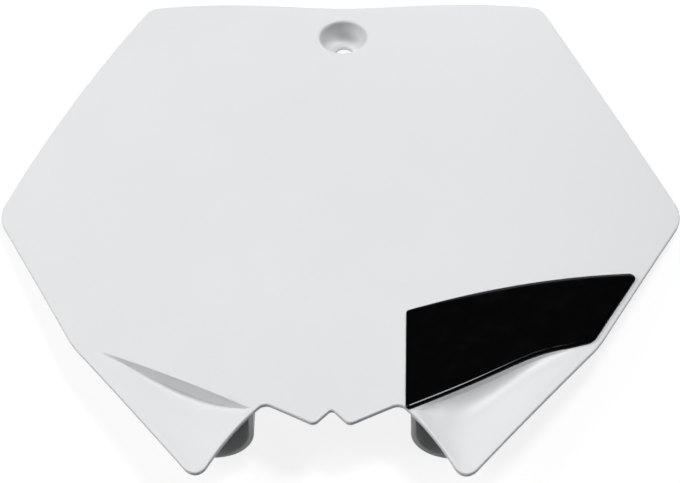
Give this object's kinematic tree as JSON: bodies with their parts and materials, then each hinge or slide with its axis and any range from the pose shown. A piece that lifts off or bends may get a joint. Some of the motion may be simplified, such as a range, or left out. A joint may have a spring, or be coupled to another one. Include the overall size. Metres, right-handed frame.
{
  "type": "motocross front number plate",
  "caption": "Curved white front number plate with a recessed screw hole, stepped lower wings, rear sockets and a bare black panel.",
  "frame": {"origin": "centre of the screw hole, on the seat of the screw's head", "axes": "+X to the right seen from the front, +Y up the plate toward its top edge, +Z out of its face; the plate lies on its back"},
  "size_m": [0.2754, 0.2483, 0.0283],
  "materials": {
    "white_plastic": "satin moulded plastic",
    "black_panel": "high gloss"
  },
  "bodies": {
    "root": {"number_plate": "white_plastic", "badge_panel": "black_panel"}
  },
  "joints": []
}
